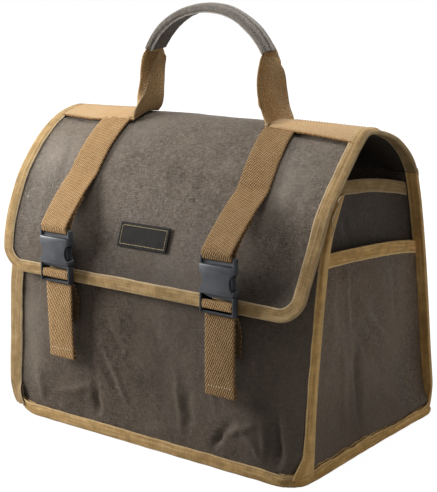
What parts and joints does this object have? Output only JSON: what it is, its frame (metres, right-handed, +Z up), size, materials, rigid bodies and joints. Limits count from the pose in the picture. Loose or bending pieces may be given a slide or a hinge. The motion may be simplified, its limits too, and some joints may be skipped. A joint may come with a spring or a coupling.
{
  "type": "tool tote bag",
  "caption": "Waxed canvas tool tote with bound edges, domed flap lid, side pockets, webbing straps with side release buckles and a carry handle.",
  "frame": {"origin": "centre of the bottom face, where the bag stands", "axes": "+X to the right as one looks at the front, the front with the buckles faces -Y, +Z up"},
  "size_m": [0.4005, 0.308, 0.4683],
  "materials": {
    "canvas": "matt waxed canvas, brown",
    "tape": "ribbed grosgrain binding, tan",
    "webbing": "twill-woven webbing, tan",
    "buckle": "moulded, satin dark grey",
    "board": "matt black stiffener",
    "label": "woven, blank, thin gold border"
  },
  "bodies": {
    "body": {"floor_panel": "canvas", "floor_board": "board", "front_panel": "canvas", "back_panel": "canvas", "hinge_seam": "canvas", "left_side_panel": "canvas", "right_side_panel": "canvas", "left_pocket": "canvas", "right_pocket": "canvas", "left_pocket_binding": "tape", "right_pocket_binding": "tape", "left_side_top_binding": "tape", "right_side_top_binding": "tape", "front_top_binding": "tape", "left_front_binding": "tape", "right_front_binding": "tape", "left_back_binding": "tape", "right_back_binding": "tape", "front_bottom_binding": "tape", "back_bottom_binding": "tape", "left_bottom_binding": "tape", "right_bottom_binding": "tape", "left_anchor_web": "webbing", "right_anchor_web": "webbing"},
    "lid": {"lid": "canvas", "lid_binding": "tape", "label": "label", "left_ridge_web": "webbing", "right_ridge_web": "webbing", "left_lid_strap": "webbing", "right_lid_strap": "webbing", "left_buckle_housing": "buckle", "right_buckle_housing": "buckle"},
    "handle": {"handle_web": "webbing", "handle_grip": "canvas"},
    "left_buckle_male": {"left_buckle_ladder": "buckle", "left_threaded_web": "webbing"},
    "left_prong_a": {"left_prong_a": "buckle"},
    "left_prong_b": {"left_prong_b": "buckle"},
    "left_tail": {"left_tail": "webbing"},
    "right_buckle_male": {"right_buckle_ladder": "buckle", "right_threaded_web": "webbing"},
    "right_prong_a": {"right_prong_a": "buckle"},
    "right_prong_b": {"right_prong_b": "buckle"},
    "right_tail": {"right_tail": "webbing"}
  },
  "joints": [
    {"name": "lid_hinge", "type": "hinge", "parent": "body", "child": "lid", "pos_m": [0, 0.0858, 0.2906], "axis": [-1, 0, 0], "range_deg": [0, 150]},
    {"name": "handle_tilt", "type": "hinge", "parent": "lid", "child": "handle", "pos_m": [0, -0.0195, 0.371], "axis": [1, 0, 0], "range_deg": [-100, 100], "stiffness_Nm_per_rad": 0.08},
    {"name": "left_buckle_release", "type": "slide", "parent": "body", "child": "left_buckle_male", "axis": [0, 0, -1], "range_m": [0, 0.045]},
    {"name": "left_prong_a_squeeze", "type": "hinge", "parent": "left_buckle_male", "child": "left_prong_a", "pos_m": [-0.1225, -0.1555, 0.1925], "axis": [0, 1, 0], "range_deg": [0, 8], "stiffness_Nm_per_rad": 0.2},
    {"name": "left_prong_b_squeeze", "type": "hinge", "parent": "left_buckle_male", "child": "left_prong_b", "pos_m": [-0.0975, -0.1555, 0.1925], "axis": [0, -1, 0], "range_deg": [0, 8], "stiffness_Nm_per_rad": 0.2},
    {"name": "left_tail_swing", "type": "hinge", "parent": "left_buckle_male", "child": "left_tail", "pos_m": [-0.11, -0.153, 0.1668], "axis": [-1, 0, 0], "range_deg": [-2, 75]},
    {"name": "right_buckle_release", "type": "slide", "parent": "body", "child": "right_buckle_male", "axis": [0, 0, -1], "range_m": [0, 0.045]},
    {"name": "right_prong_a_squeeze", "type": "hinge", "parent": "right_buckle_male", "child": "right_prong_a", "pos_m": [0.0975, -0.1555, 0.1925], "axis": [0, 1, 0], "range_deg": [0, 8], "stiffness_Nm_per_rad": 0.2},
    {"name": "right_prong_b_squeeze", "type": "hinge", "parent": "right_buckle_male", "child": "right_prong_b", "pos_m": [0.1225, -0.1555, 0.1925], "axis": [0, -1, 0], "range_deg": [0, 8], "stiffness_Nm_per_rad": 0.2},
    {"name": "right_tail_swing", "type": "hinge", "parent": "right_buckle_male", "child": "right_tail", "pos_m": [0.11, -0.153, 0.1668], "axis": [-1, 0, 0], "range_deg": [-2, 75]}
  ],
  "couplings": [
    {"joint": "left_prong_b_squeeze", "follows": "left_prong_a_squeeze", "ratio": 1},
    {"joint": "right_prong_b_squeeze", "follows": "right_prong_a_squeeze", "ratio": 1}
  ]
}
